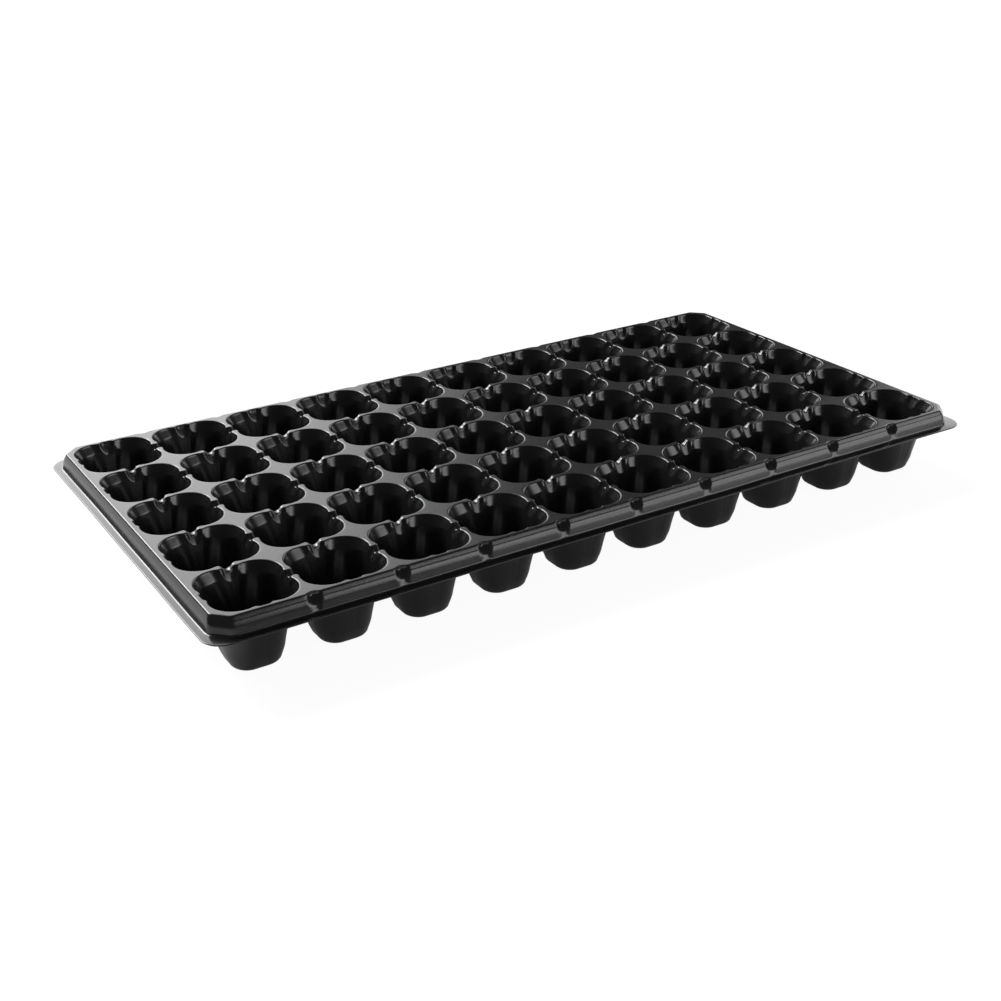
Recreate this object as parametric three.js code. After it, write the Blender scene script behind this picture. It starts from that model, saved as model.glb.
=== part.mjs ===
// Plug tray: a 5 x 10 grid of tapered growing cells in one thin formed plastic sheet,
// with a sloping skirt and a flat carrying flange all round.
// Millimetres, +Z up. Origin at the middle of the tray, level with the underside of the cell feet.
// +X runs along the long side (right), -Y is the front long side.
// The sheet is built as named regions that meet face to face: each cell with its share of
// the deck, then the skirt and the flange of each side, mitred at the corners.
import * as THREE from "three";

// ---- whole tray ----
const COLUMNS = 10; // cells along X
const ROWS = 5; // cells along Y
const PITCH = 52; // cell spacing, both ways
const SHEET = 0.8; // thickness of the formed sheet
const HEIGHT = 45; // underside of the feet to the top of the deck
const DECK_UNDERSIDE = HEIGHT - SHEET;
const HALF_X = (COLUMNS * PITCH) / 2; // outer edges of the grid of cells
const HALF_Y = (ROWS * PITCH) / 2;

// ---- cells ----
const MOUTH_HALF = 24.8; // half width of a cell's mouth at the deck top
const MOUTH_RADIUS = 14.4; // plan radius of the mouth's corners
const MOUTH_UNDER_GROWTH = 0.62; // extra half width of the mouth at the deck's underside
const MOUTH_UNDER_RADIUS_GROWTH = 0.3; // and its extra corner radius

// Rings of a cell's wall, from the foot up. The cup bellies out above the foot to a nearly
// round ring, then widens towards the mouth.
// [height, half width, plan radius] of the outside; [inset, rise] from there to the inside
const WALL = [
  [0, 11, 5.5, 0.45, SHEET], // flat foot
  [2.4, 14, 9.5, 0.66, 0.42],
  [9, 16.8, 13.6, 0.78, 0.12],
  [37.5, 22.2, 13.8, 0.78, 0.12],
];
const [, FOOT_HALF, FOOT_RADIUS] = WALL[0];
const DRAIN_RADIUS = 5; // hole in the middle of each foot
const CORNER_STEPS = 2; // straight facets in each rounded cell corner

// ---- rim: distances are outside the edges of the grid of cells ----
const DECK_CHAMFER = 7; // corner cut of the four outermost cells' deck
const DECK_BORDER = 1; // edge of the deck
const DECK_CORNER_RADIUS = 13;
const DECK_EDGE_INSET = 0.6; // deck edge to the skirt's inner face, at the deck's underside
const SKIRT_FOOT = 6; // outside of the skirt's foot
const SKIRT_CORNER_RADIUS = 13;
const SKIRT_DROP = 10; // deck top to flange top
const FLANGE_EDGE = 10; // outer edge of the flange
const FLANGE_CORNER_RADIUS = 10;
const FLANGE_TOP = HEIGHT - SKIRT_DROP;
const FLANGE_UNDERSIDE = FLANGE_TOP - SHEET;
const RIM_STEPS = 2; // facets in each half of a rim corner

const blackPlastic = () =>
  new THREE.MeshStandardMaterial({ color: 0x17181a, roughness: 0.38, metalness: 0 });

// Collects points and the triangles between them, and makes one indexed mesh.
class Skin {
  constructor() {
    this.points = [];
    this.faces = [];
  }

  // Adds a row of points and returns their indices.
  loop(points) {
    const first = this.points.length;
    this.points.push(...points);
    return points.map((_, i) => first + i);
  }

  // Band between two closed loops with the same number of points.
  band(from, to) {
    for (let i = 0; i < from.length; i++) {
      const j = (i + 1) % from.length;
      this.faces.push(from[i], to[j], to[i]);
      this.faces.push(from[i], from[j], to[j]);
    }
  }

  // Flat region inside a loop and outside a hole loop, facing up or down.
  plate(outer, hole, facesUp) {
    const inPlan = (loop) =>
      loop.map((i) => new THREE.Vector2(this.points[i][0], this.points[i][1]));
    const outline = inPlan(outer);
    const opening = inPlan(hole);
    const ids = [...outer, ...hole];
    const plan = [...outline, ...opening];
    for (const [a, b, c] of THREE.ShapeUtils.triangulateShape(outline, [opening])) {
      const isUp = THREE.ShapeUtils.area([plan[a], plan[b], plan[c]]) > 0;
      if (isUp === facesUp) this.faces.push(ids[a], ids[b], ids[c]);
      else this.faces.push(ids[a], ids[c], ids[b]);
    }
  }

  // Turns the faces of a closed skin out if its signed volume shows that they point in.
  faceOutwards() {
    const corner = (i) => new THREE.Vector3(...this.points[this.faces[i]]);
    let volume = 0;
    for (let i = 0; i < this.faces.length; i += 3) {
      volume += corner(i).dot(corner(i + 1).cross(corner(i + 2)));
    }
    if (volume < 0) {
      for (let i = 0; i < this.faces.length; i += 3) {
        [this.faces[i + 1], this.faces[i + 2]] = [this.faces[i + 2], this.faces[i + 1]];
      }
    }
  }

  mesh(name) {
    const geometry = new THREE.BufferGeometry();
    geometry.setAttribute("position", new THREE.Float32BufferAttribute(this.points.flat(), 3));
    geometry.setIndex(this.faces);
    geometry.computeVertexNormals();
    const made = new THREE.Mesh(geometry, blackPlastic());
    made.name = name;
    return made;
  }
}

// ---- cells, each drawn about its own middle ----

// Counter-clockwise square with rounded corners, starting at the +X side.
function roundedSquare(half, radius, z) {
  const points = [];
  for (let corner = 0; corner < 4; corner++) {
    const centreX = (corner === 0 || corner === 3 ? 1 : -1) * (half - radius);
    const centreY = (corner < 2 ? 1 : -1) * (half - radius);
    for (let step = 0; step <= CORNER_STEPS; step++) {
      const angle = (corner + step / CORNER_STEPS) * (Math.PI / 2);
      points.push([centreX + radius * Math.cos(angle), centreY + radius * Math.sin(angle), z]);
    }
  }
  return points;
}

// Circle sampled at the same angles as the foot's outline, so bands between them stay straight.
function drainCircle(z) {
  return roundedSquare(FOOT_HALF, FOOT_RADIUS, z).map(([x, y]) => {
    const distance = Math.hypot(x, y);
    return [(x / distance) * DRAIN_RADIUS, (y / distance) * DRAIN_RADIUS, z];
  });
}

// The square of deck that belongs to a cell; a corner cell of the tray has that corner cut.
function deckTile(row, column, z) {
  const half = PITCH / 2;
  const cut = half - DECK_CHAMFER;
  const points = [];
  for (const [signX, signY] of [[1, 1], [-1, 1], [-1, -1], [1, -1]]) {
    const onEndX = column === (signX > 0 ? COLUMNS - 1 : 0);
    const onEndY = row === (signY > 0 ? ROWS - 1 : 0);
    if (onEndX && onEndY) {
      const onSideY = [signX * cut, signY * half, z];
      const onSideX = [signX * half, signY * cut, z];
      // keeps the outline counter-clockwise
      if (signX * signY > 0) points.push(onSideX, onSideY);
      else points.push(onSideY, onSideX);
    } else {
      points.push([signX * half, signY * half, z]);
    }
  }
  return points;
}

// One cell: deck share, tapered cup open at the top, flat foot with a drain hole.
function cell(row, column) {
  const centreX = (column + 0.5) * PITCH - HALF_X;
  const centreY = (row + 0.5) * PITCH - HALF_Y;
  const skin = new Skin();
  const placed = (points) =>
    skin.loop(points.map(([x, y, z]) => [x + centreX, y + centreY, z]));

  const deckTop = placed(deckTile(row, column, HEIGHT));
  const deckUnder = placed(deckTile(row, column, DECK_UNDERSIDE));
  const mouth = placed(roundedSquare(MOUTH_HALF, MOUTH_RADIUS, HEIGHT));
  const mouthUnder = placed(
    roundedSquare(
      MOUTH_HALF + MOUTH_UNDER_GROWTH,
      MOUTH_RADIUS + MOUTH_UNDER_RADIUS_GROWTH,
      DECK_UNDERSIDE,
    ),
  );
  const outside = WALL.map(([z, half, radius]) => placed(roundedSquare(half, radius, z)));
  const inside = WALL.map(([z, half, radius, inset, rise]) =>
    placed(roundedSquare(half - inset, radius - inset, z + rise)),
  );
  const drain = [placed(drainCircle(SHEET)), placed(drainCircle(0))];

  // from the deck down the inside, through the drain hole and back up the outside
  const loops = [mouth, ...inside.reverse(), ...drain, ...outside, mouthUnder];
  skin.plate(deckTop, mouth, true);
  for (let i = 0; i + 1 < loops.length; i++) skin.band(loops[i], loops[i + 1]);
  skin.plate(deckUnder, mouthUnder, false);
  skin.band(deckUnder, deckTop);
  return skin.mesh(`cell_r${row + 1}_c${column + 1}`);
}

// ---- rim ----
// Each line of the rim is a function of station, giving its plan point in the half of the
// +X +Y corner next to the back side: station 0 is the mitre, RIM_STEPS the straight's start.

// Rounded corner of a line that runs the given distance outside the grid of cells.
function roundedLine(offset, radius) {
  return (station) => {
    const angle = (1 + station / RIM_STEPS) * (Math.PI / 4);
    return [
      HALF_X + offset - radius + radius * Math.cos(angle),
      HALF_Y + offset - radius + radius * Math.sin(angle),
    ];
  };
}

// The cut corner of the cells' deck.
function chamferLine(station) {
  const inset = (DECK_CHAMFER / 2) * (1 + station / RIM_STEPS);
  return [HALF_X - inset, HALF_Y - DECK_CHAMFER + inset];
}

const deckEdge = roundedLine(DECK_BORDER, DECK_CORNER_RADIUS);
const deckEdgeInside = roundedLine(
  DECK_BORDER - DECK_EDGE_INSET,
  DECK_CORNER_RADIUS - DECK_EDGE_INSET,
);
const skirtFoot = roundedLine(SKIRT_FOOT, SKIRT_CORNER_RADIUS);
const skirtFootInside = roundedLine(SKIRT_FOOT - SHEET, SKIRT_CORNER_RADIUS - SHEET);
const flangeEdge = roundedLine(FLANGE_EDGE, FLANGE_CORNER_RADIUS);

// Closed sections: [line, z]
const SKIRT_SECTION = [
  [chamferLine, HEIGHT],
  [deckEdge, HEIGHT],
  [skirtFoot, FLANGE_TOP],
  [skirtFoot, FLANGE_UNDERSIDE],
  [skirtFootInside, FLANGE_UNDERSIDE],
  [deckEdgeInside, DECK_UNDERSIDE],
  [chamferLine, DECK_UNDERSIDE],
];
const FLANGE_SECTION = [
  [skirtFoot, FLANGE_TOP],
  [flangeEdge, FLANGE_TOP],
  [flangeEdge, FLANGE_UNDERSIDE],
  [skirtFoot, FLANGE_UNDERSIDE],
];

// Moves a plan point to its place on each side; end is 1 or -1 for the side's two ends.
// The short sides use the corner's other half, mirrored about the 45 degree mitre.
const MITRE_SHIFT = HALF_X - HALF_Y;
const SIDES = {
  front: (x, y, end) => [end * x, -y],
  back: (x, y, end) => [end * x, y],
  left: (x, y, end) => [-(y + MITRE_SHIFT), end * (x - MITRE_SHIFT)],
  right: (x, y, end) => [y + MITRE_SHIFT, end * (x - MITRE_SHIFT)],
};

// Closes both ends of a swept section on the mitres.
function capEnds(skin, section, first, last) {
  const { area, triangulateShape } = THREE.ShapeUtils;
  const flat = section.map(([line, z]) => new THREE.Vector2(line(0)[0], z));
  const isForward = area(flat) > 0;
  for (const [a, b, c] of triangulateShape(flat, [])) {
    const followsSection = area([flat[a], flat[b], flat[c]]) > 0 === isForward;
    const [second, third] = followsSection ? [b, c] : [c, b];
    // the first cap runs against the section's order, the last along it
    skin.faces.push(first[a], first[third], first[second]);
    skin.faces.push(last[a], last[second], last[third]);
  }
}

// Sweeps a section along one side, from mitre to mitre.
function rimSide(name, section, place) {
  const skin = new Skin();
  const ring = (station, end) =>
    skin.loop(section.map(([line, z]) => [...place(...line(station), end), z]));
  const rings = [];
  for (let station = 0; station <= RIM_STEPS; station++) rings.push(ring(station, 1));
  for (let station = RIM_STEPS; station >= 0; station--) rings.push(ring(station, -1));
  for (let i = 0; i + 1 < rings.length; i++) skin.band(rings[i], rings[i + 1]);
  capEnds(skin, section, rings[0], rings[rings.length - 1]);
  skin.faceOutwards();
  return skin.mesh(name);
}

// ---- the tray ----
const cells = new THREE.Group();
for (let row = 0; row < ROWS; row++) {
  for (let column = 0; column < COLUMNS; column++) cells.add(cell(row, column));
}

const rim = new THREE.Group();
for (const [side, place] of Object.entries(SIDES)) {
  rim.add(rimSide(`skirt_${side}`, SKIRT_SECTION, place));
  rim.add(rimSide(`flange_${side}`, FLANGE_SECTION, place));
}

const tray = new THREE.Group();
tray.name = "plug_tray";
tray.add(cells, rim);

export default tray;
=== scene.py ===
# Plug tray: one thin formed black sheet with 10 x 5 tapered cells, a stepped skirt and a flange.
# It is centred on the origin and stands on z = 0, its long sides along X, the front at -Y.
# Shapes are worked out in millimetres; meshes are made in metres.
import math

import bpy
import numpy as np
from mathutils import Matrix, Vector


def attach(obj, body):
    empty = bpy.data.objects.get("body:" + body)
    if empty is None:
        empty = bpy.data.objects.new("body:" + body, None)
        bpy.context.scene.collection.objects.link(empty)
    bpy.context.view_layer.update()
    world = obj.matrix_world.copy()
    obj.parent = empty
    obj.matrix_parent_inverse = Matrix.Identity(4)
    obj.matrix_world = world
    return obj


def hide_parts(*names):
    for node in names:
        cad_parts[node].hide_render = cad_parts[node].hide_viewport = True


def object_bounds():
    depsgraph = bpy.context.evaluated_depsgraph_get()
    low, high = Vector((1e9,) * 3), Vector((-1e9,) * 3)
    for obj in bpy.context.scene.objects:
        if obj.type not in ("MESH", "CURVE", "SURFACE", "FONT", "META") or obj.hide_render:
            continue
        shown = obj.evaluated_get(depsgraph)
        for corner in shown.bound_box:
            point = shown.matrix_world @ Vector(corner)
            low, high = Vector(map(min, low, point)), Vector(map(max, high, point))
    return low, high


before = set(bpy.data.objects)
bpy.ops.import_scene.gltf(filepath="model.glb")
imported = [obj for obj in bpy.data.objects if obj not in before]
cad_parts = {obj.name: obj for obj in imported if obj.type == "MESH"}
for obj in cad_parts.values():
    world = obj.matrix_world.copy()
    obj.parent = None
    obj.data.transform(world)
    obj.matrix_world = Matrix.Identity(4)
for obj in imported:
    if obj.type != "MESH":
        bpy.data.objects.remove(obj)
cad_low, cad_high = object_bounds()

COLUMNS, ROWS, PITCH = 10, 5, 52.0
HALF = PITCH / 2
HALF_X, HALF_Y = COLUMNS * HALF, ROWS * HALF
SHEET = 0.8
TOP = cad_high[2] * 1000.0            # deck top

MOUTH_HALF, MOUTH_R = 23.35, 13.0     # wall surface at the deck plane, before its lead-in
FOLD_R = 0.85                         # rounding of the mouth's edge
FOOT_IN = 3.3                         # how far the foot's rounding turns in
FILLET_R = 2.2                        # rounding between wall and floor, inside
FILLET_TOP = SHEET + FILLET_R
DRAIN_R = 5.0

UNDER_OUT = 0.83                      # underside of the wall, out from its inner face
UNDER_FILLET_R = FILLET_R + 0.3
UNDER_FOLD_R = 0.5
BORDER_GAP = 0.02                     # the underside's fold stays this far inside the cell's border

NOTCH_DEEP, NOTCH_FLAT, NOTCH_WIDE = 2.6, 0.3, 4.2
CHAMFER = 7.0                         # cut of the tray's four deck corners
GROOVE_HALF, GROOVE_DEEP, GROOVE_EDGE = 5.0, 3.0, 1.5

# Sides are numbered counter-clockwise from +X. Each is drawn as if it were the +X side,
# then turned into place.
SIDE_NAMES = ("right", "back", "left", "front")
LONG_SIDES = (1, 3)

# Places of the mesh columns along half a cell side, from its middle
INNER_STATIONS = [
    0, 0.5, 0.9, 1.25, 1.6, 1.95, 2.3, 2.65, 3.0, 3.3, 3.6, 3.9, 4.25, 4.65, 5.05, 5.45, 5.9,
    6.4, 6.9, 7.5, 8.2, 9.0, 10.0, 11.1, 12.3, 13.5, 14.7, 15.9, 17.2, 18.6, 20.2, 21.9, 23.9]
OUTER_STATIONS = [
    0, 0.9, 1.8, 2.6, 3.2, 3.7, 4.2, 4.65, 5.1, 5.6, 6.2, 6.9, 7.8, 8.9, 10.2, 11.6, 13.0, 14.4,
    15.8, 17.2, 18.4, 19.4, 20.2, 20.9, 21.5, 22.1, 22.7, 23.3, 23.9, 24.5, 25.0, 25.5]


def smooth(x, low, high):
    t = np.clip((np.asarray(x, float) - low) / (high - low), 0, 1)
    return t * t * (3 - 2 * t)


def quarter(steps):
    """Angles of a quarter round."""
    return [i / steps * (math.pi / 2) for i in range(steps + 1)]


def turn_to_side(side, x, y):
    """Turn points drawn on the +X side onto the given side, or sides, one per point."""
    return np.choose(side, [x, -y, -x, y]), np.choose(side, [y, x, -y, -x])


def points(x, y, z):
    return np.column_stack([x, y, np.broadcast_to(z, x.shape)])


def side_samples(outer):
    """Places along a whole cell side. Its far corner belongs to it, its near one does not."""
    half = OUTER_STATIONS if outer else INNER_STATIONS
    return np.array([-s for s in half[:0:-1]] + half + [HALF])


def flute_place(x):
    """Distance from the nearest seam between columns, and whether that seam carries a flute."""
    seam = np.round((x + HALF_X) / PITCH)
    return np.abs((x + HALF_X) - seam * PITCH), (seam >= 1) & (seam <= COLUMNS - 1)


def edge_step(x):
    """How far the deck's edge steps in at the flutes of the long sides."""
    distance, fluted = flute_place(x)
    bowl = np.maximum(1 - (distance / GROOVE_HALF) ** 2, 0.0) ** 2.2
    return GROOVE_EDGE * np.where(fluted, bowl, 0.0)


# --------------------------------------------------------------------------
# cell wall
# --------------------------------------------------------------------------
# Inside of the wall: height, half width, plan radius. It bellies out above the foot and is
# nearly round at mid height.
WALL_LOW, WALL_HIGH = 2.2, 45.0
WALL = np.array([
    (WALL_LOW, 12.9, 9.0), (3.0, 13.5, 9.6), (5.0, 14.55, 11.0),
    (9.0, 16.05, 12.8), (15.0, 17.35, 13.8), (24.0, 19.0, 14.2),
    (34.0, 20.9, 13.8), (39.5, 22.05, 13.3), (WALL_HIGH, MOUTH_HALF, MOUTH_R)])


def hermite(x, xs, ys):
    """Smooth curve through a table of points."""
    slope = np.gradient(ys, xs)
    i = np.clip(np.searchsorted(xs, x) - 1, 0, len(xs) - 2)
    h = xs[i + 1] - xs[i]
    t = (x - xs[i]) / h
    return ((1 + 2 * t) * (1 - t) ** 2 * ys[i] + t * (1 - t) ** 2 * h * slope[i]
            + t * t * (3 - 2 * t) * ys[i + 1] + t * t * (t - 1) * h * slope[i + 1])


WALL_Z = np.linspace(WALL_LOW, WALL_HIGH, 215)
WALL_HALF = hermite(WALL_Z, WALL[:, 0], WALL[:, 1])
WALL_R = hermite(WALL_Z, WALL[:, 0], WALL[:, 2])


def wall_size(z):
    """Half width and plan radius of the wall's inner face at height z."""
    table_z = np.asarray(z, float) * WALL_HIGH / TOP
    return np.interp(table_z, WALL_Z, WALL_HALF), np.interp(table_z, WALL_Z, WALL_R)


def mouth_arc(s):
    """Arc length on the mouth curve, from the side's middle, for a place s on the cell's border."""
    full = (MOUTH_HALF - MOUTH_R) + MOUTH_R * math.pi / 4
    even = 6.0                        # up to here the arc length equals s, then it eases to full
    away = np.abs(s)
    t = np.clip((away - even) / (HALF - even), 0, 1)
    eased = even + (full - even) * t + (HALF - even - (full - even)) * t * (1 - t) ** 2
    return np.sign(s) * np.where(away <= even, away, eased)


def wall_frame(arc):
    """Fraction along the side's straight, and angle on the corner's arc."""
    straight = MOUTH_HALF - MOUTH_R
    return (np.clip(arc / straight, -1, 1),
            np.sign(arc) * np.maximum(np.abs(arc) - straight, 0) / MOUTH_R)


def relief(arc, depth):
    """Outward relief of the wall at an arc place and a depth below the deck: a lead-in band
    round each corner, a lead-in scoop under the notch, and between them two steep ribs that
    flare only close to the rim."""
    rim_out, least_low = 0.72, 2.4    # at the rim everywhere, and the depth it fades over
    band_out, band_lower = 0.68, 3.4  # what the band adds to both
    band_full, band_end = 9.8, 3.7    # arc place where it is full depth, length of its round end
    scoop_out, scoop_lower = 1.0, 5.6  # what the scoop adds to both
    scoop_half = 4.6                  # half length of its round lower end
    scoop_flat = 1.8                  # depth over which it keeps its full relief

    away = np.abs(arc)
    depth = np.maximum(np.asarray(depth, float), 0)
    corner = smooth(away, 5.9, 9.4)
    middle = 1 - smooth(away, 2.4, 5.0)

    end = np.maximum(band_full - away, 0) / band_end
    low = least_low + band_lower * np.sqrt(np.clip(1 - end ** 2, 0, 1))
    band = (rim_out + band_out * corner) * np.clip(1 - depth / low, 0, 1)

    low = least_low + scoop_lower * np.sqrt(np.clip(1 - (away / scoop_half) ** 2, 0, 1))
    fade = np.clip((low - depth) / (low - scoop_flat * middle), 0, 1)
    scoop = (rim_out + scoop_out * middle) * fade

    # very shallow draw marks down the wall: inward relief, arc place, width
    marks = sum(inward * np.exp(-((away - place) / width) ** 2)
                for inward, place, width in ((0.05, 5.6, 1.5), (-0.05, 9.6, 1.2), (-0.03, 0, 1.3)))
    body = smooth(depth, 4.0, 9.0) * (1 - smooth(depth, 24.0, 40.0))
    return np.maximum(band, scoop) - body * marks


# --------------------------------------------------------------------------
# cell: its share of the sheet, as rings of points from the border down the inside to the
# drain hole, and back up the underside
# --------------------------------------------------------------------------
WEB_SHARES = (0.0, 0.3, 0.6, 0.85)    # from the border to the fold
WALL_SHARES = (                       # down the wall, from the fold to the fillet
    0.012, 0.03, 0.05, 0.07, 0.088, 0.102, 0.112, 0.122, 0.136, 0.155, 0.18, 0.22,
    0.28, 0.36, 0.46, 0.57, 0.68, 0.77, 0.85, 0.91, 0.96, 1.0)
UNDER_SHARES = (                      # the same on the underside, listed from the foot up
    0.96, 0.91, 0.84, 0.74, 0.62, 0.48, 0.34, 0.22, 0.17, 0.13, 0.09, 0.055, 0.028, 0.01)
FLOOR_SHARES = (0.35, 0.7, 0.9)       # from the fillet to FLOOR_END beyond the drain's edge
FLOOR_END = 0.3
# Drain hole's edge, from the floor to the underside: distance outside DRAIN_R, height
DRAIN_EDGE = ((0.22, SHEET), (0.06, SHEET - 0.06), (0.0, SHEET - 0.22),
              (0.0, 0.2), (0.06, 0.06), (0.2, 0.0))


def cell_border(side, s, outer, centre_x):
    """Plan of the cell's border, drawn on the +X side. outer flags the tray's outside."""
    x, y = np.full(len(s), HALF), s.copy()
    outside = outer[side]
    next_outside = outer[(side + np.where(s > 0, 1, 3)) % 4]
    long_side = np.isin(side, LONG_SIDES)
    past = np.abs(s) - (HALF - CHAMFER)
    cut = outside & next_outside & (past > 0)
    t = past[cut] / CHAMFER
    x[cut] = HALF - CHAMFER / 2 * t
    y[cut] = np.sign(s[cut]) * (HALF - CHAMFER + CHAMFER / 2 * t)
    fluted = outside & long_side & ~cut
    x[fluted] -= edge_step(centre_x + np.where(side == 1, -s, s)[fluted])
    # the far end of a seam that runs into a long side's flute
    y[next_outside & ~long_side & ~cut & (s >= HALF)] = HALF - GROOVE_EDGE
    return np.array([x, y])


class Cell:
    """One cell. Plans are 2 x n arrays, every column drawn on the +X side."""

    def __init__(self, row, column):
        self.centre = np.array([-HALF_X + HALF + column * PITCH,
                                -HALF_Y + HALF + row * PITCH, 0.0])
        outer = np.array([column == COLUMNS - 1, row == ROWS - 1, column == 0, row == 0])
        samples = [side_samples(flag) for flag in outer]
        self.side = np.repeat(np.arange(4), [len(part) for part in samples])
        s = np.concatenate(samples)
        self.arc = mouth_arc(s)
        self.straight, angle = wall_frame(self.arc)
        self.normal = np.array([np.cos(angle), np.sin(angle)])
        self.border = cell_border(self.side, s, outer, self.centre[0])
        # notch across the ridge to the next cell
        notch = NOTCH_DEEP * (1 - smooth(np.abs(s), NOTCH_FLAT, NOTCH_WIDE))
        self.web = TOP - np.where(outer[self.side], 0.0, notch)

    def ring(self, plan, z):
        return points(*turn_to_side(self.side, *plan), z)

    def plan(self, half, radius, out):
        """Rounded square of that size, moved out along its normals."""
        x = half - radius + radius * self.normal[0]
        y = self.straight * (half - radius) + radius * self.normal[1]
        return np.array([x, y]) + self.normal * out

    def inner_plan(self, z):
        return self.plan(*wall_size(z), relief(self.arc, TOP - z))

    def under_plan(self, z):
        # the sheet is thinner where it was drawn deepest
        thin = 0.27 * smooth(z, 8.0, 15.0) * (1 - smooth(z, 27.0, 38.0))
        return self.plan(*wall_size(z), relief(self.arc, TOP - z) * 0.95 + UNDER_OUT - thin)

    def foot_ring(self, angle, radius, top, turn_in, out):
        """Ring of the rounding between wall and floor, which starts at height top."""
        half, plan_r = wall_size(FILLET_TOP)
        shrink = 0.25 * radius * math.sin(angle)
        inset = turn_in * (1 - math.cos(angle)) ** 0.7
        plan = self.plan(half - shrink, plan_r - shrink, out - inset)
        return self.ring(plan, top - radius * math.sin(angle))

    def inside(self):
        """Web, fold, wall and fillet."""
        edge_z = self.web - FOLD_R
        fold = self.inner_plan(edge_z) + self.normal * FOLD_R
        rings = [self.ring(self.border + (fold - self.border) * t, self.web) for t in WEB_SHARES]
        for angle in quarter(4):
            rings.append(self.ring(fold - self.normal * FOLD_R * math.sin(angle),
                                   self.web - FOLD_R * (1 - math.cos(angle))))
        for t in WALL_SHARES:
            z = edge_z * (1 - t) + FILLET_TOP * t
            rings.append(self.ring(self.inner_plan(z), z))
        for angle in quarter(4)[1:]:
            rings.append(self.foot_ring(angle, FILLET_R, FILLET_TOP, FOOT_IN, 0.0))
        return rings

    def under_foot(self):
        return [self.foot_ring(angle, UNDER_FILLET_R, UNDER_FILLET_R, FOOT_IN + 0.35, UNDER_OUT)
                for angle in reversed(quarter(4))]

    def under_wall(self):
        """Underside of the wall, its fold and the web."""
        web = self.web - SHEET
        edge_z = web - UNDER_FOLD_R
        rings = []
        for t in UNDER_SHARES:
            z = edge_z * (1 - t) + UNDER_FILLET_R * t
            rings.append(self.ring(self.under_plan(z), z))
        edge = self.under_plan(edge_z)
        for angle in quarter(2):
            fold = edge + self.normal * UNDER_FOLD_R * (1 - math.cos(angle))
            fold[0] = np.minimum(fold[0], self.border[0] - BORDER_GAP)
            rings.append(self.ring(fold, web - UNDER_FOLD_R * (1 - math.sin(angle))))
        # fold is now where the web's underside starts
        for t in (0.5, 1.0):
            rings.append(self.ring(fold + (self.border - fold) * t, web))
        return rings

    def rows(self):
        rings = self.inside()
        plan = rings[-1][:, :2]
        radius = np.hypot(plan[:, 0], plan[:, 1])
        unit = plan / radius[:, None]

        def radial(distance, z):
            return points(unit[:, 0] * distance, unit[:, 1] * distance, z)

        for t in FLOOR_SHARES:
            rings.append(radial(radius + (DRAIN_R + FLOOR_END - radius) * t, SHEET))
        rings += [radial(DRAIN_R + out, z) for out, z in DRAIN_EDGE]
        foot = self.under_foot()
        foot_radius = np.hypot(foot[0][:, 0], foot[0][:, 1])
        rings.append(radial(DRAIN_R + (foot_radius - DRAIN_R) * 0.5, 0.0))
        rings += foot + self.under_wall()
        return [ring + self.centre for ring in rings]


# --------------------------------------------------------------------------
# rim: skirt and flange, swept round the tray. A station of its section is
# (distance outside the outermost cells, depth below the deck, corner cut,
#  rounding of the cut's ends as a share of the cut)
# --------------------------------------------------------------------------
CURVE_LENGTH = 15.0                   # length of side, before a corner, where the plan curves
SHORT_EXTRA = 1.0                     # the deck's border is this much wider at the short ends

SKIRT_STEPPED = [
    (0, 0, 0, 0), (0.45, 0, 8.4, 0.16), (0.85, 0.06, 8.41, 0.16), (1.2, 0.28, 8.43, 0.16),
    (1.42, 0.62, 8.47, 0.161), (1.65, 1.15, 8.54, 0.163), (2.1, 2.3, 8.68, 0.172),
    (2.19, 2.52, 8.7, 0.174), (2.4, 2.66, 8.72, 0.176), (2.54, 2.86, 8.74, 0.178),
    (2.96, 3.95, 8.87, 0.194), (3.05, 4.17, 8.9, 0.198), (3.28, 4.32, 8.92, 0.201),
    (3.43, 4.54, 8.94, 0.205), (3.67, 5.5, 9.06, 0.227), (4, 6.6, 9.19, 0.256),
    (4.32, 7.65, 9.32, 0.289), (4.62, 8.6, 9.43, 0.323), (4.77, 9.15, 9.5, 0.344),
    (5.03, 9.55, 9.55, 0.361), (5.42, 9.8, 9.58, 0.371), (5.9, 9.92, 9.59, 0.376),
    (6.4, 9.99, 9.6, 0.38),
]
FLANGE_TOP = [
    (6.4, 9.99, 9.6, 0.38), (7.3, 10.09, 9.05, 0.485), (8.4, 10.21, 8.38, 0.613),
    (9.3, 10.31, 7.83, 0.718), (9.62, 10.35, 7.63, 0.756), (9.84, 10.42, 7.5, 0.781),
    (9.96, 10.56, 7.42, 0.795), (10, 10.74, 7.4, 0.8),
]

# The skirt's straight-drawn section flares at the top and steepens below
SLOPE_OUT, SLOPE_HIGH = 1.42, 0.62    # distance out and depth where it starts
SLOPE_FOOT, SLOPE_LOW = 4.77, 9.15    # the stepped section's distance out and depth at its end
SLOPE_DEPTHS = np.linspace(SLOPE_HIGH, SLOPE_LOW, 120)
SLOPE_RATES = 0.57 - 0.285 * smooth(SLOPE_DEPTHS, 2.4, 6.4)
SLOPE_OUTS = SLOPE_OUT + np.concatenate([[0], np.cumsum(np.diff(SLOPE_DEPTHS) * SLOPE_RATES[1:])])


def slope_at(depth):
    return float(np.interp(depth, SLOPE_DEPTHS, SLOPE_OUTS))


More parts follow.
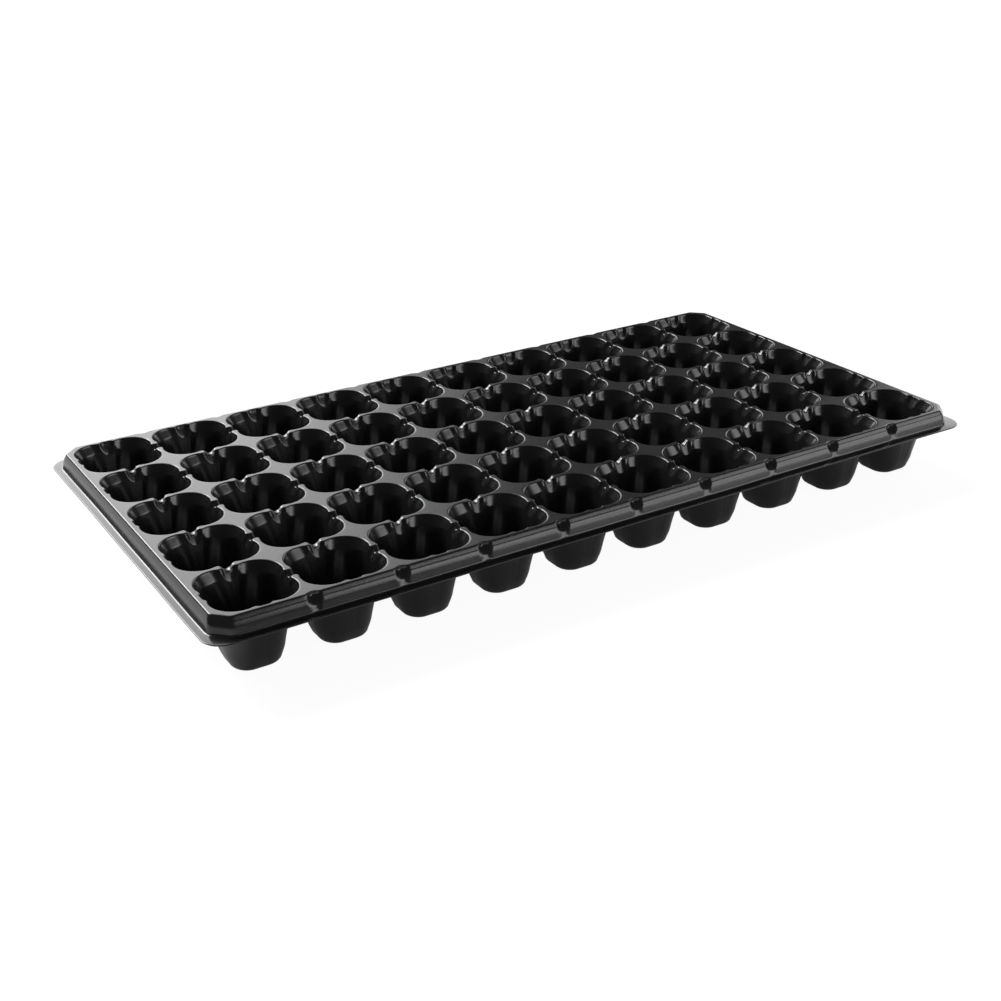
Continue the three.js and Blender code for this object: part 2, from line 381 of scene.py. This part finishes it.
def soften(stations):
    """Lay the fine steps, much reduced, on the straight-drawn section."""
    kept = 0.22                       # share of the steps' height
    bend, upper_rate, lower_rate = 4.5, 0.5, 0.307   # line the steps are taken from
    foot_end = 9.9                    # depth by which the foot's change has run out
    softened = []
    for out, depth, cut, rounding in stations:
        if SLOPE_HIGH < depth <= SLOPE_LOW:
            line = (SLOPE_OUT + upper_rate * (min(depth, bend) - SLOPE_HIGH)
                    + lower_rate * max(depth - bend, 0.0))
            out = slope_at(depth) + kept * (out - line)
        elif SLOPE_LOW < depth < foot_end:
            share = (foot_end - depth) / (foot_end - SLOPE_LOW)
            out += (slope_at(SLOPE_LOW) - SLOPE_FOOT) * share
        softened.append((out, depth, cut, rounding))
    return softened


def underside(stations):
    """The same section one sheet thickness below, from its 2D normals."""
    section = np.array([(out, -depth) for out, depth, _, _ in stations])
    tangent = np.gradient(section, axis=0)
    tangent /= np.linalg.norm(tangent, axis=1)[:, None]
    normal = np.stack([tangent[:, 1], -tangent[:, 0]], 1)
    normal[normal[:, 1] > 0] *= -1    # down and in
    lower = section + normal * SHEET
    lower[:, 0] = np.minimum.accumulate(lower[::-1, 0])[::-1]
    return [(float(out), float(-z), *station[2:])
            for (out, z), station in zip(lower, stations)]


SKIRT_TOP = soften(SKIRT_STEPPED)
# The two undersides meet below the skirt's foot
MEET = (SKIRT_TOP[-1][0] + 0.06, SKIRT_TOP[-1][1] + SHEET, *SKIRT_TOP[-1][2:])
SKIRT_UNDER = (
    [(0.0, SHEET, 0, 0), (0.3, SHEET, *SKIRT_TOP[1][2:])]
    + [station for station in underside(SKIRT_TOP)[3:-1] if station[1] > SHEET + 0.12]
    + [MEET])
# The flange's outer edge is rounded below: distance out, depth
FLANGE_UNDER = [MEET] + underside(FLANGE_TOP)[1:4] + [
    (out, depth, *FLANGE_TOP[-1][2:]) for out, depth in ((9.55, 11.12), (9.8, 11.08), (9.95, 10.95))]


def widened(out, side):
    """Distance out of a station, given for the long sides, on any side."""
    if side in LONG_SIDES:
        return out
    return out + SHORT_EXTRA * float(smooth(out, 0.0, 0.5) * (1 - smooth(out, 1.6, 6.3)))


def corner_half(reach, half_length, x, y, cut, rounding):
    """Polyline from where the plan starts to curve to the corner's middle. x and y are the
    distances out of this side and of the next. The corner is a straight cut with rounded ends."""
    next_y = half_length + y
    x = reach + x
    cut_start, cut_end = np.array([x, next_y - cut]), np.array([x - cut, next_y])
    length = rounding * cut
    before = cut_start - np.array([0, min(length, CURVE_LENGTH + y - cut)])
    after = cut_start + np.array([-1.0, 1.0]) / math.sqrt(2) * length
    t = np.linspace(0, 1, 14)[:, None]
    bend = (1 - t) ** 2 * before + 2 * (1 - t) * t * cut_start + t * t * after
    return np.vstack([[x, half_length - CURVE_LENGTH], bend, (cut_start + cut_end) / 2])


def along(line, share):
    """Points at the given shares of a polyline's length."""
    lengths = np.linalg.norm(np.diff(line, axis=0), axis=1)
    distance = np.concatenate([[0], np.cumsum(lengths)])
    want = np.clip(share, 0, 1) * distance[-1]
    return np.interp(want, distance, line[:, 0]), np.interp(want, distance, line[:, 1])


def flute(x, depth):
    """Inward step of the skirt at the flutes, and how far they flatten its fine steps (0 to 1)."""
    distance, fluted = flute_place(x)
    # a rounded pocket: it opens quickly under the deck's edge and closes round at its lower end
    rise = 0.5 + 0.5 * float(smooth(depth, 0.0, 1.6))
    fall = max(1 - (max(depth - 1.8, 0.0) / 4.4) ** 2, 0.0)
    half = GROOVE_HALF * (0.55 + 0.45 * math.sqrt(fall))
    bowl = np.maximum(1 - (distance / half) ** 2, 0.0) ** 2.2
    pocket = fluted * GROOVE_DEEP * rise * fall * bowl
    # shallow run-out to the foot
    run_out = 0.4 * float(smooth(depth, 0.5, 4.0) * (1 - smooth(depth, 7.5, 9.6)))
    run_out = fluted * run_out * np.maximum(1 - (distance / 3.6) ** 2, 0.0) ** 1.5
    flatten = fluted * (1 - smooth(distance, GROOVE_HALF - 2.5, GROOVE_HALF + 1.0))
    return np.maximum(pocket, run_out), flatten


def rim_row(side, out, depth, cut, rounding, wave):
    """One row of points along a side, from corner middle to corner middle. The station at
    distance 0 follows the cells' own border. wave is the share of the flange's waviness."""
    long_side = side in LONG_SIDES
    cells, reach = (COLUMNS, HALF_Y) if long_side else (ROWS, HALF_X)
    half_length = cells * HALF
    place = np.concatenate([[-half_length]] + [
        -half_length + HALF + i * PITCH + side_samples(True) for i in range(cells)])
    tray_x = -place if side == 1 else place
    to_end = half_length - np.abs(place)
    y = place.copy()
    if out == 0:
        x = np.full(len(place), float(reach))
        corner = to_end < CHAMFER
        t = (CHAMFER - to_end[corner]) / CHAMFER
        x[corner] = reach - CHAMFER / 2 * t
        y[corner] = np.sign(place[corner]) * (half_length - CHAMFER + CHAMFER / 2 * t)
        if long_side:
            x -= np.where(corner, 0, edge_step(tray_x))
    else:
        out_here, out_next = widened(out, side), widened(out, (side + 1) % 4)
        x = np.full(len(place), reach + out_here)
        corner = to_end < CURVE_LENGTH
        line = corner_half(reach, half_length, out_here, out_next, cut, rounding)
        x[corner], corner_y = along(line, (CURVE_LENGTH - to_end[corner]) / CURVE_LENGTH)
        y[corner] = np.sign(place[corner]) * corner_y
        if long_side:
            groove, flatten = flute(tray_x, depth)
            # how far the fine steps stand off the straight-drawn slope
            step = slope_at(depth) - out if SLOPE_HIGH < depth < 5.5 else 0.0
            x = x - groove + flatten * step
    # a thin flange is never quite straight: a long and a short wave, fading out at the corners
    waves = (0.16 * np.sin(place / 41.0 + 1.3 * side)
             + 0.10 * np.sin(place / 17.0 + 2.1 * side + 0.7))
    z = TOP - depth + wave * waves * smooth(to_end, 0.0, 25.0)
    return points(*turn_to_side(side, x, y), z)


# --------------------------------------------------------------------------
# pieces
# --------------------------------------------------------------------------
class Piece:
    """Quads between rows of points, the last row joined to the first. A closed piece also joins
    the ends of its rows; an open one is capped there. The strips after the rows listed in
    seams are cut faces inside the sheet, not its skin."""

    def __init__(self, node, rows, closed, seams):
        self.node = node
        self.co = np.concatenate(rows)
        index = np.arange(len(self.co)).reshape(len(rows), -1)
        quads, skin = [], []
        for j, this in enumerate(index):
            below = index[(j + 1) % len(rows)]
            strip = np.stack([this, np.roll(this, -1), np.roll(below, -1), below], 1)
            if not closed:
                strip = strip[:-1]
            quads.append(strip)
            skin.append(np.full(len(strip), j not in seams))
        self.quads = np.concatenate(quads)
        self.skin = np.concatenate(skin)
        self.caps = [] if closed else [index[:, 0], index[::-1, -1]]
        # turn the faces outward if the enclosed volume comes out negative
        a, b, c, d = (self.co[self.quads[:, i]] - self.co.mean(0) for i in range(4))
        volume = (np.einsum("ij,ij->i", a, np.cross(b, c))
                  + np.einsum("ij,ij->i", a, np.cross(c, d))).sum()
        if volume < 0:
            self.quads = self.quads[:, ::-1].copy()
            self.caps = [cap[::-1] for cap in self.caps]
        self.face_normal = self.quad_normals()

    def quad_normals(self):
        a, b, c, d = (self.co[self.quads[:, i]] for i in range(4))
        normal = np.cross(c - a, d - b)
        return normal / np.maximum(np.linalg.norm(normal, axis=1), 1e-12)[:, None]

    def normal_sums(self):
        """Face normals of the skin summed at each vertex, weighted by the corner's angle."""
        sums = np.zeros_like(self.co)
        for i in range(4):
            here, after, before = (self.co[self.quads[:, (i + turn) % 4]] for turn in (0, 1, -1))
            u, w = after - here, before - here
            lengths = np.linalg.norm(u, axis=1) * np.linalg.norm(w, axis=1)
            cosine = np.einsum("ij,ij->i", u, w) / np.maximum(lengths, 1e-12)
            angle = np.arccos(np.clip(cosine, -1, 1)) * self.skin
            for axis in range(3):
                sums[:, axis] += np.bincount(
                    self.quads[:, i], weights=self.face_normal[:, axis] * angle,
                    minlength=len(self.co))
        return sums

    def place_keys(self):
        """One integer per vertex, equal where vertices coincide to about 0.0005 mm."""
        grid = np.round(self.co * 2000).astype(np.int64) + 2 ** 20
        return (grid[:, 0] << 42) | (grid[:, 1] << 21) | grid[:, 2]


def make_pieces():
    made = []
    for row in range(ROWS):
        for column in range(COLUMNS):
            rows = Cell(row, column).rows()
            made.append(Piece(f"cell_r{row + 1}_c{column + 1}", rows, True, {len(rows) - 1}))
    for k, side in enumerate(SIDE_NAMES):
        # the flange's waviness fades in at the skirt's foot
        rows = [rim_row(k, *station, wave=smooth(station[1], 8.9, 9.95)) for station in SKIRT_TOP]
        rows += [rim_row(k, *station, wave=smooth(station[1], 9.6, 10.7))
                 for station in reversed(SKIRT_UNDER)]
        made.append(Piece(f"skirt_{side}", rows, False, {len(SKIRT_TOP) - 1, len(rows) - 1}))
        rows = [rim_row(k, *station, wave=1.0) for station in FLANGE_TOP + FLANGE_UNDER[::-1]]
        made.append(Piece(f"flange_{side}", rows, False, {len(rows) - 1}))
    return made


def share_normals(pieces):
    """One smooth surface across all pieces: normals are shared wherever two pieces meet."""
    _, place = np.unique(np.concatenate([p.place_keys() for p in pieces]), return_inverse=True)
    sums = np.concatenate([p.normal_sums() for p in pieces])
    total = np.stack([np.bincount(place, weights=sums[:, axis]) for axis in range(3)], 1)
    total /= np.maximum(np.linalg.norm(total, axis=1), 1e-12)[:, None]
    start = 0
    for p in pieces:
        p.normal = total[place[start:start + len(p.co)]]
        start += len(p.co)


def build(piece):
    """Blender object of a piece, with the shared normals on its skin."""
    quad_count = len(piece.quads)
    loops = piece.quads.ravel()
    starts = np.arange(quad_count) * 4
    for cap in piece.caps:
        starts = np.append(starts, len(loops))
        loops = np.append(loops, cap)
    name = piece.node + "_formed"
    mesh = bpy.data.meshes.new(name)
    mesh.vertices.add(len(piece.co))
    mesh.vertices.foreach_set("co", (piece.co / 1000.0).astype(np.float32).ravel())
    mesh.loops.add(len(loops))
    mesh.loops.foreach_set("vertex_index", loops.astype(np.int32))
    mesh.polygons.add(len(starts))
    mesh.polygons.foreach_set("loop_start", starts.astype(np.int32))
    mesh.polygons.foreach_set("use_smooth", np.ones(len(starts), bool))
    mesh.update(calc_edges=True)

    # cut faces and caps are flat
    normals = piece.normal[loops].copy()
    flat = ~piece.skin
    for i in range(4):
        normals[np.flatnonzero(flat) * 4 + i] = piece.face_normal[flat]
    first = quad_count * 4
    for cap in piece.caps:
        spokes = piece.co[cap] - piece.co[cap].mean(0)
        normal = np.cross(spokes, np.roll(spokes, -1, 0)).sum(0)
        normals[first:first + len(cap)] = normal / max(np.linalg.norm(normal), 1e-12)
        first += len(cap)
    mesh.normals_split_custom_set(normals.astype(np.float32))
    obj = bpy.data.objects.new(name, mesh)
    bpy.context.scene.collection.objects.link(obj)
    return obj


# --------------------------------------------------------------------------
# material: black formed polystyrene sheet
# --------------------------------------------------------------------------
def empty_tree(owner):
    owner.use_nodes = True
    owner.node_tree.nodes.clear()
    return owner.node_tree


def new_node(tree, kind, inputs=None, **settings):
    node = tree.nodes.new(kind)
    for name, value in settings.items():
        setattr(node, name, value)
    for name, value in (inputs or {}).items():
        node.inputs[name].default_value = value
    return node


def noise(tree, vector, scale, detail, roughness):
    node = new_node(tree, "ShaderNodeTexNoise",
                    {"Scale": scale, "Detail": detail, "Roughness": roughness})
    tree.links.new(vector, node.inputs["Vector"])
    return node.outputs["Fac"]


def formed_plastic():
    mat = bpy.data.materials.new("black_formed_sheet")
    tree = empty_tree(mat)
    link = tree.links.new
    out = new_node(tree, "ShaderNodeOutputMaterial")
    bsdf = new_node(tree, "ShaderNodeBsdfPrincipled", {"IOR": 1.46})
    link(bsdf.outputs[0], out.inputs[0])
    place = new_node(tree, "ShaderNodeTexCoord").outputs["Object"]

    # slow colour drift of the sheet, between black and a slightly greyer black
    drift = noise(tree, place, scale=14.0, detail=4.0, roughness=0.6)
    ramp = new_node(tree, "ShaderNodeValToRGB")
    dark, grey = ramp.color_ramp.elements
    dark.position, dark.color = 0.3, (0.0085, 0.0085, 0.0090, 1)
    grey.position, grey.color = 0.72, (0.0130, 0.0130, 0.0137, 1)
    link(drift, ramp.inputs["Fac"])
    link(ramp.outputs["Color"], bsdf.inputs["Base Color"])

    # roughness: satin, with soft blotches and fine vertical draw lines down the walls
    stretch = new_node(tree, "ShaderNodeMapping", {"Scale": (900.0, 900.0, 26.0)})
    link(place, stretch.inputs["Vector"])
    lines = noise(tree, stretch.outputs[0], scale=1.0, detail=2.0, roughness=0.5)
    blotches = noise(tree, place, scale=55.0, detail=3.0, roughness=0.55)
    mix = new_node(tree, "ShaderNodeMath", operation="MULTIPLY_ADD")
    mix.inputs[1].default_value = 0.35    # share of the lines
    link(lines, mix.inputs[0])
    link(blotches, mix.inputs[2])
    rough = new_node(tree, "ShaderNodeMapRange",
                     {"From Min": 0.35, "From Max": 1.0, "To Min": 0.155, "To Max": 0.235})
    link(mix.outputs[0], rough.inputs["Value"])
    link(rough.outputs["Result"], bsdf.inputs["Roughness"])

    # surface: faint orange peel of the hot sheet and its fine matt grain
    peel = noise(tree, place, scale=420.0, detail=2.0, roughness=0.5)
    grain = noise(tree, place, scale=2600.0, detail=2.0, roughness=0.6)
    peel_bump = new_node(tree, "ShaderNodeBump", {"Strength": 0.10, "Distance": 0.0003})
    grain_bump = new_node(tree, "ShaderNodeBump", {"Strength": 0.12, "Distance": 0.0001})
    link(peel, peel_bump.inputs["Height"])
    link(grain, grain_bump.inputs["Height"])
    link(peel_bump.outputs[0], grain_bump.inputs["Normal"])
    link(grain_bump.outputs[0], bsdf.inputs["Normal"])
    return mat


pieces = make_pieces()
share_normals(pieces)
plastic = formed_plastic()
for piece in pieces:
    obj = build(piece)
    obj.data.materials.append(plastic)
    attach(obj, "root")
    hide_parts(piece.node)

# --------------------------------------------------------------------------
# studio
# --------------------------------------------------------------------------
scene = bpy.context.scene
scene.view_settings.view_transform = "Standard"
scene.view_settings.look = "None"
scene.view_settings.exposure = 0.0
scene.view_settings.gamma = 1.0

ROOM_STRENGTH = 0.13
# Soft panels: azimuth is from "back" (+Y) or "front" (-Y), positive towards +X. Each list of
# four degrees is where the panel starts to fade in, is full, starts to fade out and is gone.
# From, azimuths, elevations, strength
PANELS = (
    ("back", (-14, -4, 17, 34.5), (-2, 6, 46, 62), 4.3),      # wide, behind
    ("back", (-43, -37, -12, 10), (21, 27, 46, 54), 21.0),    # bright strip at its left
    ("back", (-62, -48, -28, -18), (-14, -5, 4, 12), 0.3),    # low, behind and to the left
    ("front", (25, 33, 42, 78), (0, 6, 19, 26), 5.2),         # low, in front and to the right
    ("back", (47, 52, 75, 88), (2, 8, 34, 46), 3.0),          # right
    ("front", (19, 22, 26, 34), (8, 14, 22, 27), 5.4),        # narrow, in front
)


def studio_world():
    """A white backdrop for the camera, and the soft panels in a dim room for everything else."""
    world = bpy.data.worlds.new("studio")
    scene.world = world
    tree = empty_tree(world)
    link = tree.links.new
    out = new_node(tree, "ShaderNodeOutputWorld")
    coord = new_node(tree, "ShaderNodeTexCoord")
    direction = new_node(tree, "ShaderNodeSeparateXYZ")
    link(coord.outputs["Generated"], direction.inputs[0])

    def calculate(operation, *values):
        node = new_node(tree, "ShaderNodeMath", operation=operation)
        for i, value in enumerate(values):
            if isinstance(value, (int, float)):
                node.inputs[i].default_value = value
            else:
                link(value, node.inputs[i])
        return node.outputs[0]

    def fade(angle, low, high):
        node = new_node(tree, "ShaderNodeMapRange",
                        {"From Min": math.radians(low), "From Max": math.radians(high)},
                        interpolation_type="SMOOTHSTEP")
        link(angle, node.inputs["Value"])
        return node.outputs["Result"]

    def window(angle, start, full, fall, end):
        return calculate("MULTIPLY", fade(angle, start, full),
                         calculate("SUBTRACT", 1.0, fade(angle, fall, end)))

    x, y, z = direction.outputs
    azimuth = {"back": calculate("ARCTAN2", x, y),
               "front": calculate("ARCTAN2", x, calculate("MULTIPLY", y, -1.0))}
    elevation = calculate("ARCSINE", z)
    total = ROOM_STRENGTH
    for origin, azimuths, elevations, strength in PANELS:
        panel = calculate("MULTIPLY", window(azimuth[origin], *azimuths),
                          window(elevation, *elevations))
        total = calculate("MULTIPLY_ADD", panel, strength, total)
    studio = new_node(tree, "ShaderNodeBackground")
    link(total, studio.inputs["Strength"])
    white = new_node(tree, "ShaderNodeBackground", {"Color": (1, 1, 1, 1), "Strength": 1.0})
    by_camera_ray(tree, studio, white, out)


def by_camera_ray(tree, others, camera, out):
    """Send one shader to camera rays and another to all other rays."""
    path = new_node(tree, "ShaderNodeLightPath")
    mix = new_node(tree, "ShaderNodeMixShader")
    tree.links.new(path.outputs["Is Camera Ray"], mix.inputs[0])
    tree.links.new(others.outputs[0], mix.inputs[1])
    tree.links.new(camera.outputs[0], mix.inputs[2])
    tree.links.new(mix.outputs[0], out.inputs[0])


def glowing_surface(tree, grey, glow):
    diffuse = new_node(tree, "ShaderNodeBsdfDiffuse", {"Color": (grey, grey, grey, 1)})
    emission = new_node(tree, "ShaderNodeEmission", {"Color": (1, 1, 1, 1), "Strength": glow})
    both = new_node(tree, "ShaderNodeAddShader")
    tree.links.new(diffuse.outputs[0], both.inputs[0])
    tree.links.new(emission.outputs[0], both.inputs[1])
    return both


def studio_floor():
    """Pale floor, dimmer in the tray's own reflections than to the eye."""
    half, drop = 6.0, 0.0002          # metres
    mesh = bpy.data.meshes.new("floor")
    mesh.from_pydata([(-half, -half, 0), (half, -half, 0), (half, half, 0), (-half, half, 0)],
                     [], [(0, 1, 2, 3)])
    floor = bpy.data.objects.new("floor", mesh)
    scene.collection.objects.link(floor)
    floor.location.z = -drop
    mat = bpy.data.materials.new("pale_floor")
    tree = empty_tree(mat)
    out = new_node(tree, "ShaderNodeOutputMaterial")
    by_camera_ray(tree, glowing_surface(tree, grey=0.85, glow=0.14),
                  glowing_surface(tree, grey=0.11, glow=0.95), out)
    mesh.materials.append(mat)


def studio_camera():
    right = Vector((0.85685, -0.51521, -0.01924))
    down = Vector((-0.23353, -0.35458, -0.90540))
    ahead = Vector((0.45964, 0.78028, -0.42413))
    data = bpy.data.cameras.new("camera")
    camera = bpy.data.objects.new("camera", data)
    scene.collection.objects.link(camera)
    pose = Matrix.Identity(4)
    for i in range(3):
        pose[i][0], pose[i][1], pose[i][2] = right[i], -down[i], -ahead[i]
    pose.translation = Vector((-0.46628, -0.72979, 0.39872))
    camera.matrix_world = pose
    data.sensor_width = 36.0
    data.lens = 51.04
    data.shift_x = 0.03247
    data.shift_y = 0.0
    data.clip_start = 0.01
    scene.camera = camera


studio_world()
studio_floor()
studio_camera()
